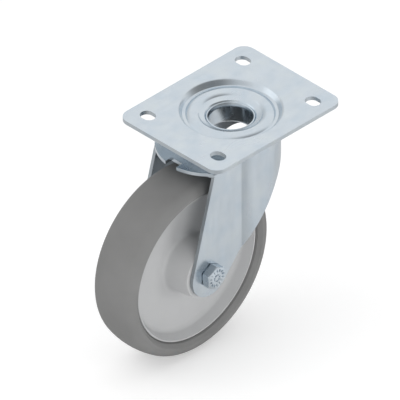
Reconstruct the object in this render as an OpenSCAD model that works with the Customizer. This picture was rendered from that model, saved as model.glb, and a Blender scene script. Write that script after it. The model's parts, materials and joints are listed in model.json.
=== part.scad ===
// Plate-mounted swivel castor: pressed fork on two ball races, wheel on a roller bearing.
// Origin: centre of the plate's top face. +X along the axle to the bolt's head,
// +Y forwards (the wheel trails behind), +Z up.

/* [Overall] */
// Diameter of the wheel
wheel_d = 160; // [150:1:170]
// Depth of the tread's top below the plate's top face
tread_depth = 35; // [32:0.5:45]
// Distance of the axle behind the swivel axis
trail = 55; // [50:1:60]

/* [Top plate] */
// Length of the plate, along the rolling direction
plate_l = 140; // [128:1:160]
// Width of the plate, across the rolling direction
plate_w = 110; // [100:1:130]
// Thickness of the plate
plate_t = 3.5; // [3:0.1:4]
// Corner radius of the plate
plate_corner_r = 10; // [4:1:14]
// Pitch of the slots along the plate
slot_pitch_l = 105; // [100:0.5:115]
// Pitch of the slots across the plate
slot_pitch_w = 77.5; // [75:0.5:85]
// Width of a slot
slot_w = 11; // [9:0.5:12]
// Length of a slot from end to end, across the plate
slot_l = 13.5; // [12.5:0.5:16]

/* [Pressed centre of the plate] */
// Depth of the dish
dish_depth = 4.9; // [4.4:0.1:5.4]
// Run of the dish's wall, from its foot to the plate
dish_wall_run = 3.2; // [2.8:0.1:4]
// Outer radius of the bend where the dish's wall meets the plate
dish_bend_r = 3; // [2:0.1:3.4]
// Width of the dish's floor outside the bead
dish_floor_w = 2.4; // [2:0.1:3]
// Height of the bead that backs the upper balls, above the dish's floor
bead_h = 2.3; // [2:0.1:2.6]
// Depth of the flat round the kingpin below the dish's floor
cone_depth = 1.7; // [1.4:0.1:2]
// Depth of the countersink round the kingpin
sink_depth = 2; // [1.6:0.1:2.3]
// Width of that countersink
sink_w = 1.5; // [1.2:0.1:1.8]

/* [Swivel bearing] */
// Radius of the upper ball track
upper_track_r = 30; // [29:0.1:32]
// Diameter of an upper ball
upper_ball_d = 8; // [7.4:0.1:8.6]
// Diameter of a lower ball
lower_ball_d = 5.5; // [5:0.1:6]
// Gap between a ball and its track
ball_play = 0.08; // [0.05:0.01:0.1]
// Gap between a ball and its cage pocket
pocket_play = 0.12; // [0.08:0.01:0.2]
// Thickness of a ball cage
cage_t = 1.5; // [1.3:0.1:1.6]
// Width of a ball cage's rim beside its pockets
cage_rim = 0.5; // [0.4:0.05:0.6]
// Least width of a ball cage between two pockets
cage_web = 1.1; // [0.9:0.1:3]
// Gap between the lower cage and the fork's head
cage_gap = 0.6; // [0.4:0.1:0.9]
// Gap between the plate's pressed centre and the fork's head
head_gap = 4.6; // [4.2:0.1:5]
// Width of the fork's head outside the upper balls, up to its bend
head_land = 1.5; // [1.3:0.1:2.5]
// Gap between the fork's head and the kingpin
head_bore_gap = 1.6; // [1.3:0.1:2]
// Wall of the lower race inside its balls
race_in_wall = 0.85; // [0.7:0.05:1]
// Wall of the lower race outside its balls
race_out_wall = 1.2; // [1:0.1:1.6]
// Thickness of the lower race under its track
race_t = 2.4; // [2:0.1:3]
// Height of the lower race's lips above its track
race_lip_h = 1.6; // [1.2:0.1:1.8]

/* [Hollow kingpin] */
// Bore radius of the kingpin
kingpin_bore_r = 17; // [16:0.1:18]
// Wall of the kingpin in the plate
kingpin_wall = 2; // [1.8:0.1:2.2]
// Width of the shoulder that carries the plate from below
shoulder_w = 1.3; // [1.1:0.1:1.5]
// Height of the riveted rim above the foot of the countersink
rivet_h = 1.6; // [1.3:0.1:2]
// Width by which the riveted rim spreads over the countersink
rivet_over = 0.4; // [0.3:0.05:0.5]
// Width by which the bore widens at the riveted rim
flare_w = 1.2; // [1:0.1:1.4]
// Height over which the bore widens
flare_h = 2.8; // [2:0.1:4]
// Width of the kingpin's foot flange beyond its shoulder
flange_w = 5.2; // [4:0.1:6.5]
// Thickness of the foot flange
flange_t = 2.6; // [2.3:0.1:3]
// Radius that eases the bore into the foot flange
foot_ease_r = 4.2; // [3:0.1:6]

/* [Fork] */
// Thickness of the fork's sheet
fork_t = 3; // [2.7:0.1:3.3]
// Space between the fork's legs
fork_gap = 60; // [57:0.5:63]
// Outer radius of the fork's bends
bend_r = 4; // [3.6:0.1:5]
// Radius of the vertical crease where a leg leaves the front wall
crease_r = 5; // [3:0.5:8]
// Depth of the rear shelf below the plate's top face
shelf_depth = 20.4; // [19.5:0.1:21.5]
// Reach of the rear shelf behind the swivel axis
shelf_reach = 66.3; // [61:0.1:70]
// Width of the notch in the shelf
notch_w = 12; // [8:0.5:16]
// Depth of the notch in the shelf
notch_depth = 7.2; // [4:0.1:9]
// Distance of a leg's rear top corner behind the swivel axis
leg_corner = 50.6; // [47:0.1:55]
// Radius of a leg's foot about the axle
foot_r = 19.5; // [17.5:0.1:21.5]
// Front edge of a leg: distance of its low corner ahead of the axle
edge_low_ahead = 35; // [31:0.5:38]
// Front edge of a leg: height of its low corner above the axle
edge_low_up = 11.5; // [10:0.5:20]
// Front edge of a leg: distance of its middle corner ahead of the swivel axis
edge_mid_ahead = 13; // [10:0.5:15]
// Front edge of a leg: depth of its middle corner below the plate's top face
edge_mid_depth = 57; // [52:0.5:62]
// Front edge of a leg: distance of its high corner ahead of the swivel axis
edge_high_ahead = 28; // [25:0.5:31]
// Front edge of a leg: depth of its high corner below the plate's top face
edge_high_depth = 40.5; // [37:0.5:44]
// Radius that eases the corners of that front edge
edge_ease_r = 30; // [10:1:60]
// Depth of the front wall's lower edge below the plate's top face
front_depth = 32; // [29:0.5:35]

/* [Dust seal] */
// Thickness of the seal's base and lips
seal_t = 0.9; // [0.7:0.1:1]
// Width of the seal's foot on the fork's head
seal_foot_w = 1.5; // [1.4:0.1:2]
// Gap between the seal and the upper ball cage
seal_gap = 0.35; // [0.3:0.05:0.5]
// Gap between the seal's lips and the plate
lip_gap = 0.35; // [0.3:0.05:0.6]

/* [Wheel] */
// Width of the tyre
tyre_w = 45; // [41:0.5:49]
// Radius of the tread's crown across the wheel
crown_r = 59; // [50:1:80]
// Radius of the tyre's shoulders
shoulder_r = 10; // [8:0.5:11]
// Height of the tyre's sides
tyre_side_h = 10.9; // [9:0.1:12]
// Thickness of the tyre on the wheel centre
tyre_t = 15.8; // [14:0.1:18]
// Width of the wheel centre at its rim
centre_w = 35.2; // [32:0.1:38]
// Depth of the groove in which the tyre keys
key_depth = 3; // [2:0.1:4]
// Width of that groove
key_w = 14; // [10:0.5:18]
// Thickness of the wheel centre's rim
rim_wall = 6.8; // [6:0.1:8]
// Half width of the wheel centre at the inner edge of its rim
rim_foot_x = 15; // [13.5:0.1:15.8]
// Half thickness of the web at the hub
web_x = 6; // [5:0.1:7]
// Hub radius at the web
hub_root_r = 25.4; // [23.5:0.1:28]
// Hub radius at its ends
hub_end_r = 22.2; // [20:0.1:23]
// Fillet between hub and web
hub_fillet_r = 4; // [2:0.5:6]
// Gap between a hub end and a fork leg
hub_gap = 0.5; // [0.3:0.1:1]

/* [Roller bearing] */
// Outer radius of the axle tube, on which the rollers run
tube_r = 10; // [9:0.1:10.8]
// Diameter of a roller
roller_d = 4; // [3.6:0.1:4.4]
// Gap between a roller and its tracks
roller_play = 0.04; // [0.03:0.01:0.08]
// Least width of the roller cage between two windows
roller_web = 1.8; // [1.4:0.1:4]
// Gap between the axle tube and the roller cage
roller_cage_in = 0.8; // [0.6:0.05:1]
// Gap between the roller cage and the hub's bore
roller_cage_out = 0.6; // [0.5:0.05:0.8]
// Width of the cage's rings beyond the rollers
cage_ring_w = 5; // [3:0.5:8]
// Gap between an end of the roller cage and a hub seal
cage_end_gap = 0.7; // [0.4:0.1:1]
// Outer radius of a hub seal
hub_seal_r = 17; // [15.6:0.1:18.5]
// Thickness of a hub seal
hub_seal_t = 3.2; // [2.8:0.1:3.6]
// Depth of a hub seal in the hub's end
hub_seal_in = 0.6; // [0.3:0.1:0.8]

/* [Axle] */
// Diameter of the axle bolt
bolt_d = 12; // [10:0.5:13]
// Clearance round the bolt
bolt_play = 0.1; // [0.05:0.01:0.2]
// Size of the hexagons across their flats
hex_af = 18.5; // [17:0.5:20]
// Distance of a hexagon's chamfer inside its flats
hex_chamfer = 0.4; // [0.2:0.1:0.8]
// Height of the bolt's head
bolt_head_h = 7.5; // [6:0.1:9]
// Turn of the bolt's head about the axle, degrees
bolt_head_turn = 32; // [0:1:60]
// Height of the washer face under the head
washer_face_h = 0.6; // [0.4:0.1:0.8]
// Distance of the washer face's edge inside the flats
washer_face_in = 0.55; // [0.3:0.05:0.8]
// Outer diameter of the nut's washer
washer_d = 24; // [21:0.5:28]
// Thickness of the nut's washer
washer_t = 2.5; // [1.5:0.1:3]
// Height of the nut's hexagon
nut_hex_h = 8; // [7:0.1:9]
// Height of the nut's collar, which holds the locking ring
nut_collar_h = 4; // [3.6:0.1:5]
// Wall of the nut's collar
collar_wall = 1; // [0.8:0.1:1.2]
// Width of the locking ring round the bolt
lock_ring_w = 1.4; // [1.2:0.1:1.6]
// Height of the locking ring
lock_ring_h = 2.6; // [2:0.1:3]
// Width of the collar's lip over the locking ring
collar_lip = 0.6; // [0.4:0.1:0.9]
// Length of bolt that stands out of the nut
bolt_end = 3; // [1:0.5:6]

/* [Hidden] */
$fn = 96;
// Facets of a round that is only a few millimetres across
small_fn = 32;

// Gap between pieces that are pressed or riveted together
press_gap = 0.02;
// Length by which a cut runs past the face that it leaves
past = 1;
// Round on pressed and moulded edges
edge_round = 1;
// Round on thin lips and ground edges
small_round = 0.2;
// Slope of the chamfer on a hexagon's corners, degrees
hex_slope = 30;

zinc = [0.78, 0.81, 0.84];
steel = [0.62, 0.64, 0.66];
ball_steel = [0.75, 0.76, 0.78];
rubber_grey = [0.5, 0.5, 0.5];
plastic_grey = [0.75, 0.75, 0.75];
dark_plastic = [0.25, 0.26, 0.28];
white_plastic = [0.9, 0.9, 0.88];

// Heights in the plate's pressed centre and the upper ball race
dish_z = -dish_depth;
land_z = dish_z - plate_t;
cone_z = dish_z - cone_depth;
sink_z = cone_z - sink_depth;
upper_groove_r = upper_ball_d / 2 + ball_play;
bead_r = upper_groove_r + plate_t;
upper_ball_z = dish_z + bead_h - bead_r;
head_z = land_z - head_gap;
head_under_z = upper_ball_z - upper_groove_r - fork_t;

// Heights in the lower ball race
lower_groove_r = lower_ball_d / 2 + ball_play;
lower_ball_z = head_under_z - cage_gap - cage_t / 2;
lower_track_z = lower_ball_z - lower_groove_r;
race_foot_z = lower_track_z - race_t;
flange_z = race_foot_z - flange_t;

// Radii of the kingpin and the lower race, from the bore outwards
kingpin_r = kingpin_bore_r + kingpin_wall;
kingpin_shoulder_r = kingpin_r + shoulder_w;
race_in_r = kingpin_shoulder_r + press_gap;
lower_track_r = race_in_r + race_in_wall + lower_groove_r;
race_out_r = lower_track_r + lower_groove_r + race_out_wall;
fork_hole_r = kingpin_shoulder_r + head_bore_gap;
sink_r = kingpin_r + press_gap + sink_w;

// Radii of the plate's pressed centre and the fork's head, from the upper track outwards
bead_half_w = sqrt(bead_r * bead_r - (dish_z - upper_ball_z) * (dish_z - upper_ball_z));
dish_foot_r = upper_track_r + bead_half_w + dish_floor_w;
dish_r = dish_foot_r + dish_wall_run;
plate_seam_r = dish_r + 2 * plate_t;
seal_in_r = upper_track_r + upper_ball_d / 2 + pocket_play + cage_rim + seal_gap;
fork_r = upper_track_r + upper_groove_r + head_land + bend_r;

// Fork
leg_out = fork_gap / 2 + fork_t;
shelf_z = -shelf_depth;
lip_z = shelf_z - bend_r;
sag = shelf_reach - leg_corner;
shelf_r = (leg_out * leg_out + sag * sag) / (2 * sag);

// Wheel and axle
axle_z = -tread_depth - wheel_d / 2;
centre_r = wheel_d / 2 - tyre_t;
hub_end = fork_gap / 2 - hub_gap;
seal_face_x = hub_end - hub_seal_in - hub_seal_t;
roller_ring_r = tube_r + roller_play + roller_d / 2;
hub_bore_r = roller_ring_r + roller_d / 2 + roller_play;
roller_cage_l = 2 * (seal_face_x - cage_end_gap);
roller_l = roller_cage_l - 2 * cage_ring_w;
nut_z = leg_out + washer_t;
nut_h = nut_hex_h + nut_collar_h;
bolt_r = bolt_d / 2;
bolt_hole_r = bolt_r + bolt_play;
lock_ring_r = bolt_r + lock_ring_w;

// Vector v with length 1
function unit(v) = v / norm(v);
// Vector v turned a quarter turn to the left
function left(v) = [-v[1], v[0]];
// Place of a path point, without its radius
function place(p) = [p[0], p[1]];
// Plain points given the corner radius r
function with_r(points, r) = [for (p = points) [p[0], p[1], r]];
// Items of a list from one index to another
function slice(list, from, to) = [for (i = [from:to]) list[i]];
// List in the opposite order
function reversed(list) = [for (i = [len(list) - 1:-1:0]) list[i]];
// Points on an arc of radius r about c, from angle a to angle b
function arc(c, r, a, b, steps = 8) =
    [for (i = [0:steps]) c + r * [cos(a + (b - a) * i / steps), sin(a + (b - a) * i / steps)]];
// Points that round corner b, between a and c, to radius r
function round_corner(a, b, c, r, steps = 6) =
    let (u = unit(a - b), v = unit(c - b), half = acos(u * v) / 2,
        centre = b + unit(u + v) * r / sin(half),
        from = b + u * r / tan(half) - centre,
        to = b + v * r / tan(half) - centre,
        start = atan2(from[1], from[0]),
        turn = atan2(from[0] * to[1] - from[1] * to[0], from * to))
    arc(centre, r, start, start + turn, steps);
// Closed outline of [x, y, radius] points with each corner rounded to its radius
function rounded(path) =
    let (n = len(path))
    [for (i = [0:n - 1])
        let (before = path[(i + n - 1) % n], after = path[(i + 1) % n])
        each path[i][2] == 0
            ? [place(path[i])]
            : round_corner(place(before), place(path[i]), place(after), path[i][2])];
// Open path of plain points moved to its left by d, with mitred corners
function shifted(path, d) =
    let (last = len(path) - 1)
    [for (i = [0:last])
        let (a = unit(path[max(i, 1)] - path[max(i, 1) - 1]),
            b = unit(path[min(i, last - 1) + 1] - path[min(i, last - 1)]))
        path[i] + d * (left(a) + left(b)) / (1 + a * b)];
// Point where a line from p touches the circle of radius r about c, on side 1 or -1
function touch(p, c, r, side) =
    let (v = p - c, a = atan2(v[1], v[0]) + side * acos(r / norm(v)))
    c + r * [cos(a), sin(a)];
// Most pockets of diameter d, and webs between them, that a ring of radius ring_r takes
function pocket_count(ring_r, d, web) = floor(180 / asin((d + web) / 2 / ring_r));

upper_ball_n = pocket_count(upper_track_r, upper_ball_d + 2 * pocket_play, cage_web);
lower_ball_n = pocket_count(lower_track_r, lower_ball_d + 2 * pocket_play, cage_web);
roller_n = pocket_count(roller_ring_r, roller_d + 2 * pocket_play, roller_web);

// Children moved to the axle, with their +Z turned to +X
module on_axle(x = 0, turn = 0) {
    translate([x, -trail, axle_z]) rotate([0, 90, 0]) rotate([0, 0, turn]) children();
}

// Revolves an outline of [place along the axle, radius] points about the axle
module turned(outline) {
    on_axle() rotate_extrude() polygon([for (p = outline) [p[1], p[0]]]);
}

// Children repeated n times round the Z axis at radius r
module ring_of(n, r) {
    for (i = [0:n - 1]) rotate([0, 0, i * 360 / n]) translate([r, 0, 0]) children();
}

// Tube of height h from the origin up
module tube(r_in, r_out, h) {
    difference() {
        cylinder(r = r_out, h = h);
        translate([0, 0, -past]) cylinder(r = r_in, h = h + 2 * past);
    }
}

// Round groove of radius groove_r on a track about the Z axis
module groove(track_r, z, groove_r) {
    rotate_extrude() translate([track_r, z]) circle(r = groove_r);
}

// Plate outline with round corners
module plate_outline() {
    x = plate_w / 2 - plate_corner_r;
    y = plate_l / 2 - plate_corner_r;
    union() {
        square([plate_w, 2 * y], center = true);
        square([2 * x, plate_l], center = true);
        for (i = [-1, 1], j = [-1, 1]) translate([i * x, j * y]) circle(r = plate_corner_r);
    }
}

// One mounting slot, long across the plate
module slot() {
    reach = (slot_l - slot_w) / 2;
    union() {
        square([2 * reach, slot_w], center = true);
        for (i = [-1, 1]) translate([i * reach, 0]) circle(r = slot_w / 2);
    }
}

// Section of the plate's pressed centre: flat and cone round the kingpin, bead, dish wall
module dish_section() {
    bead_a = asin((dish_z - upper_ball_z) / bead_r);
    bead = arc([upper_track_r, upper_ball_z], bead_r, 180 - bead_a, bead_a, 12);
    last = len(bead) - 1;
    skin = [[kingpin_bore_r, cone_z], [sink_r, cone_z], bead[0], [dish_foot_r, dish_z], [dish_r, 0],
        [plate_seam_r, 0]];
    under = shifted(skin, -plate_t);
    difference() {
        polygon(rounded(concat(
            with_r([skin[0]], 0), with_r([skin[1]], edge_round), with_r([bead[0]], edge_round),
            with_r(slice(bead, 1, last - 1), 0), with_r([bead[last]], edge_round),
            with_r([skin[3]], edge_round), with_r([skin[4]], dish_bend_r), with_r([skin[5]], 0),
            with_r([under[5]], 0), with_r(reversed(slice(under, 1, 4)), edge_round),
            with_r([under[0]], 0))));
        translate([upper_track_r, upper_ball_z]) circle(r = upper_groove_r);
    }
}

// Pressed plate with four slots, a ball track under its centre and a countersunk rivet hole
module top_plate() color(zinc) {
    hole_r = kingpin_r + press_gap;
    difference() {
        union() {
            translate([0, 0, -plate_t]) linear_extrude(plate_t) difference() {
                plate_outline();
                circle(r = plate_seam_r);
            }
            rotate_extrude() dish_section();
        }
        for (i = [-1, 1], j = [-1, 1])
            translate([i * slot_pitch_w / 2, j * slot_pitch_l / 2, -plate_t - past])
                linear_extrude(plate_t + 2 * past) slot();
        translate([0, 0, flange_z]) cylinder(r = hole_r, h = past - flange_z);
        rotate_extrude() polygon([[0, sink_z], [hole_r, sink_z], [sink_r, cone_z],
            [sink_r, cone_z + past], [0, cone_z + past]]);
    }
}

// Shouldered hollow rivet: foot flange under the lower race, rim riveted into the countersink
module kingpin() color(zinc) {
    shoulder_z = cone_z - plate_t - press_gap;
    rim_z = sink_z + rivet_h;
    rim_r = kingpin_r + rivet_over;
    rim_foot_z = sink_z + rivet_over * sink_depth / sink_w;
    flange_r = kingpin_shoulder_r + flange_w;
    rotate_extrude() polygon(rounded([
        [kingpin_bore_r, rim_z - flare_h, 3 * edge_round],
        [kingpin_bore_r + flare_w, rim_z, 3 * small_round],
        [rim_r, rim_z, 4 * small_round], [rim_r, rim_foot_z, 0], [kingpin_r, sink_z, 0],
        [kingpin_r, shoulder_z, 0], [kingpin_shoulder_r, shoulder_z, small_round],
        [kingpin_shoulder_r, race_foot_z, small_round], [flange_r, race_foot_z, edge_round],
        [flange_r, flange_z, edge_round], [kingpin_bore_r, flange_z, foot_ease_r]]));
}

// Cup-shaped race that carries the lower balls from below
module lower_race() color(steel) {
    foot_z = race_foot_z + press_gap;
    lip_top_z = lower_track_z + race_lip_h;
    rotate_extrude() difference() {
        polygon(rounded([[race_in_r, foot_z, 2 * small_round], [race_out_r, foot_z, 2 * edge_round],
            [race_out_r, lip_top_z, small_round], [race_in_r, lip_top_z, small_round]]));
        translate([lower_track_r, lower_ball_z]) circle(r = lower_groove_r);
    }
}

// Ring of loose balls
module ball_ring(n, track_r, z, d) {
    translate([0, 0, z]) ring_of(n, track_r) sphere(d = d);
}

// Moulded ring with a pocket for each ball
module ball_cage(n, track_r, z, d) {
    pocket_r = d / 2 + pocket_play;
    half_w = pocket_r + cage_rim;
    difference() {
        translate([0, 0, z - cage_t / 2]) tube(track_r - half_w, track_r + half_w, cage_t);
        translate([0, 0, z]) ring_of(n, track_r) sphere(r = pocket_r);
    }
}

module upper_balls() color(ball_steel)
    ball_ring(upper_ball_n, upper_track_r, upper_ball_z, upper_ball_d);

module upper_ball_cage() color(dark_plastic)
    ball_cage(upper_ball_n, upper_track_r, upper_ball_z, upper_ball_d);

module lower_balls() color(ball_steel)
    ball_ring(lower_ball_n, lower_track_r, lower_ball_z, lower_ball_d);

module lower_ball_cage() color(dark_plastic)
    ball_cage(lower_ball_n, lower_track_r, lower_ball_z, lower_ball_d);

// Fork body from above, drawn in by d: round front wall and straight legs, with eased creases
module fork_plan(d) {
    wall_r = fork_r - d;
    leg_x = leg_out - d;
    ease_r = crease_r + d;
    ease_x = leg_x + ease_r;
    ease_y = -sqrt((wall_r + ease_r) * (wall_r + ease_r) - ease_x * ease_x);
    union() {
        circle(r = wall_r);
        translate([-leg_x, -wheel_d]) square([2 * leg_x, wheel_d]);
        for (side = [-1, 1]) difference() {
            polygon([[0, 0], [side * ease_x, ease_y], [0, ease_y]]);
            translate([side * ease_x, ease_y]) circle(r = ease_r);
        }
    }
}

// Fork body as a solid block, drawn in by d, with round bends at its top edges
module fork_block(d) {
    leg_x = leg_out - d;
    wall_r = fork_r - d;
    union() {
        rotate_extrude() polygon(rounded([[0, head_z - d, 0], [wall_r, head_z - d, bend_r - d],
            [wall_r, lip_z, 0], [0, lip_z, 0]]));
        rotate([90, 0, 0]) linear_extrude(wheel_d) polygon(rounded([
            [-leg_x, shelf_z - d, bend_r - d], [-leg_x, lip_z - past, 0],
            [leg_x, lip_z - past, 0], [leg_x, shelf_z - d, bend_r - d]]));
        translate([0, 0, axle_z - wheel_d]) linear_extrude(lip_z - axle_z + wheel_d) fork_plan(d);
    }
}

// Side view of the legs and the front wall, below the bends
module leg_profile() {
    axle = [-trail, axle_z];
    corner = [-leg_corner, lip_z];
    low = axle + [edge_low_ahead, edge_low_up];
    mid = [edge_mid_ahead, -edge_mid_depth];
    high = [edge_high_ahead, -edge_high_depth];
    front = fork_r + 2 * past;
    rear_edge = [corner, touch(corner, axle, foot_r, 1)];
    front_edge = with_r([low, mid, high], edge_ease_r);
    union() {
        translate(axle) circle(r = foot_r);
        polygon(rounded(concat(with_r(rear_edge, 0), with_r([touch(low, axle, foot_r, -1)], 0),
            front_edge, with_r([[front, -front_depth], [front, lip_z]], 0))));
    }
}

// Outline from above within which the pressed top of the fork is trimmed
module shelf_plan() {
    arc_y = shelf_r - shelf_reach;
    union() {
        translate([0, arc_y]) circle(r = shelf_r);
        translate([-fork_r - past, arc_y]) square([2 * (fork_r + past), 2 * fork_r]);
    }
}

// Boss under the fork's head, in which the balls' tracks are pressed
module head_boss() {
    boss_r = fork_r - 2 * fork_t;
    rotate_extrude() polygon([[0, head_z], [boss_r, head_z], [boss_r, head_under_z + fork_t / 2],
        [upper_track_r, head_under_z], [0, head_under_z]]);
}

// Pressed fork: head with both ball tracks, front wall, legs and notched rear shelf
module swivel_fork() color(zinc) {
    difference() {
        intersection() {
            union() {
                difference() {
                    fork_block(0);
                    fork_block(fork_t);
                }
                head_boss();
            }
            union() {
                rotate([90, 0, 90]) linear_extrude(2 * fork_r, center = true) leg_profile();
                translate([0, 0, lip_z]) linear_extrude(-lip_z) shelf_plan();
            }
        }
        translate([0, 0, shelf_z - fork_t]) cylinder(r = fork_hole_r, h = shelf_depth);
        groove(upper_track_r, upper_ball_z, upper_groove_r);
        groove(lower_track_r, lower_ball_z, lower_groove_r);
        translate([-notch_w / 2, -shelf_reach - past, lip_z - past])
            cube([notch_w, notch_depth + past, bend_r + 2 * past]);
        on_axle(-leg_out - past) cylinder(r = bolt_hole_r, h = 2 * (leg_out + past));
    }
}

// Two-lipped seal on the fork's head, close under the plate's pressed centre
module dust_seal() color(dark_plastic) {
    foot_z = head_z + press_gap;
    lip_z = land_z - lip_gap;
    foot_r = seal_in_r + seal_foot_w;
    tip_r = foot_r + 2 * seal_t;
    rotate_extrude() polygon(rounded([
        [seal_in_r, foot_z, 0], [foot_r, foot_z, 0], [tip_r + seal_t, lip_z - seal_t, small_round],
        [tip_r, lip_z, small_round], [foot_r - seal_t / 2, foot_z + seal_t, small_round],
        [seal_in_r + seal_t, foot_z + seal_t, small_round],
        [seal_in_r + 0.7 * seal_t, lip_z, small_round], [seal_in_r, lip_z, small_round]]));
}

// Tube clamped between the fork's legs, on which the rollers run
module axle_tube() color(steel) {
    on_axle(-fork_gap / 2) tube(bolt_hole_r, tube_r, fork_gap);
}

// Hexagonal prism of height h with its corners cut back by a cone at the top
module hexagon(h) {
    corner_r = hex_af / 2 / cos(30);
    face_r = hex_af / 2 - hex_chamfer;
    side_r = corner_r + past;
    side_h = h - (side_r - face_r) * tan(hex_slope);
    intersection() {
        cylinder(r = corner_r, h = h, $fn = 6);
        rotate_extrude() polygon([[0, 0], [side_r, 0], [side_r, side_h], [face_r, h], [0, h]]);
    }
}

// Bolt through the fork and the axle tube, with its head on the +X side
module axle_bolt() color(zinc) {
    reach = leg_out + nut_z + nut_h + bolt_end;
    on_axle(leg_out, bolt_head_turn) union() {
        cylinder(r = hex_af / 2 - washer_face_in, h = washer_face_h);
        translate([0, 0, washer_face_h]) hexagon(bolt_head_h - washer_face_h);
        rotate_extrude() polygon([[0, 0], [bolt_r, 0], [bolt_r, edge_round - reach],
            [bolt_r - edge_round, -reach], [0, -reach]]);
    }
}

// Flat washer under the nut
module nut_washer() color(zinc) {
    on_axle(-nut_z) tube(bolt_hole_r + 2 * bolt_play, washer_d / 2, washer_t);
}

// Hexagonal nut with a collar that holds the locking ring
module axle_nut() color(zinc) {
    collar_r = lock_ring_r + collar_wall;
    lip_h = collar_wall / 2;
    on_axle(-nut_z) mirror([0, 0, 1]) difference() {
        union() {
            hexagon(nut_hex_h);
            rotate_extrude() polygon(rounded([[0, 0, 0], [collar_r, 0, 0],
                [collar_r, nut_h, edge_round], [0, nut_h, 0]]));
        }
        translate([0, 0, -past]) cylinder(r = bolt_r + press_gap, h = nut_h);
        translate([0, 0, nut_h - lip_h - lock_ring_h]) cylinder(r = lock_ring_r, h = lock_ring_h);
        translate([0, 0, nut_h - 2 * lip_h]) cylinder(r = lock_ring_r - collar_lip, h = 2 * lip_h + past);
    }
}

// Plastic ring that grips the bolt, inside the nut's collar
module lock_ring() color(white_plastic) {
    on_axle(-nut_z - nut_h + collar_wall / 2 + press_gap)
        tube(bolt_r + press_gap, lock_ring_r - press_gap, lock_ring_h - 2 * press_gap);
}

// Ring of rollers round the axle tube
module bearing_rollers() color(ball_steel) {
    on_axle(-roller_l / 2) ring_of(roller_n, roller_ring_r)
        cylinder(d = roller_d, h = roller_l, $fn = small_fn);
}

// Moulded tube with a window for each roller
module roller_cage() color(white_plastic) {
    window_l = roller_l + 4 * pocket_play;
    difference() {
        on_axle(-roller_cage_l / 2)
            tube(tube_r + roller_cage_in, hub_bore_r - roller_cage_out, roller_cage_l);
        on_axle(-window_l / 2) ring_of(roller_n, roller_ring_r)
            cylinder(d = roller_d + 2 * pocket_play, h = window_l, $fn = small_fn);
    }
}

// Rim of the wheel centre under the tyre, from -X to +X, with the groove that keys the tyre
function rim_path() =
    let (rim_x = centre_w / 2, key_x = key_w / 2, key_r = centre_r - key_depth)
    [[-rim_x, centre_r, 0], [-key_x, centre_r, 0], [-key_x + key_depth / 2, key_r, 0],
        [key_x - key_depth / 2, key_r, 0], [key_x, centre_r, 0], [rim_x, centre_r, 0]];

// One side of the wheel centre, from the rim's foot in to the bearing bore
function centre_side() =
    let (seat_r = hub_seal_r + press_gap)
    [[rim_foot_x, centre_r - rim_wall, 2 * edge_round], [web_x, hub_root_r, hub_fillet_r],
        [hub_end, hub_end_r, edge_round], [hub_end, seat_r, small_round],
        [seal_face_x, seat_r, 0], [seal_face_x, hub_bore_r, small_round]];

// The same points on the other side of the wheel, in the opposite order
function other_side(path) = reversed([for (p = path) [-p[0], p[1], p[2]]]);

// Moulded wheel centre: rim, dished web, tapered hub and the outer track of the rollers
module wheel_centre() color(plastic_grey) {
    turned(rounded(concat(rim_path(), centre_side(), other_side(centre_side()))));
}

// Rubber tyre moulded on the rim, with a crowned tread and bevelled sides
module tyre() color(rubber_grey) {
    crown_c = wheel_d / 2 - crown_r;
    shoulder_x = tyre_w / 2 - shoulder_r;
    join_a = acos(shoulder_x / (crown_r - shoulder_r));
    shoulder_c = crown_c + (crown_r - shoulder_r) * sin(join_a);
    lip_a = asin((wheel_d / 2 - tyre_side_h - shoulder_c) / shoulder_r);
    shoulder = arc([shoulder_x, shoulder_c], shoulder_r, lip_a, join_a, 10);
    crown = arc([0, crown_c], crown_r, join_a, 180 - join_a, 16);
    far_shoulder = reversed([for (p = shoulder) [-p[0], p[1]]]);
    rim = [for (p = rim_path()) place(p)];
    turned(concat(shoulder, slice(crown, 1, len(crown) - 2), far_shoulder, rim));
}

// Sealing disc in a hub end; side is 1 by the bolt's head and -1 by the nut
module hub_seal(side) color(dark_plastic) {
    mid_x = seal_face_x + hub_seal_t / 2;
    on_axle(side * mid_x - hub_seal_t / 2 + press_gap)
        tube(tube_r + roller_play, hub_seal_r, hub_seal_t - 2 * press_gap);
}

module hub_seal_near() hub_seal(1);

module hub_seal_far() hub_seal(-1);

top_plate();
kingpin();
lower_race();
upper_balls();
upper_ball_cage();
lower_balls();
lower_ball_cage();
swivel_fork();
dust_seal();
axle_tube();
axle_bolt();
nut_washer();
axle_nut();
lock_ring();
bearing_rollers();
roller_cage();
wheel_centre();
tyre();
hub_seal_near();
hub_seal_far();
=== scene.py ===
"""Dresses a packed swivel castor: finishes, fine pieces, floor, lamps and camera."""
import json
import math

import bmesh
import bpy
from bpy.props import FloatProperty, FloatVectorProperty, IntProperty, PointerProperty
from bpy.types import NodeSocket, Operator, Panel, PropertyGroup
from mathutils import Matrix, Vector


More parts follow.
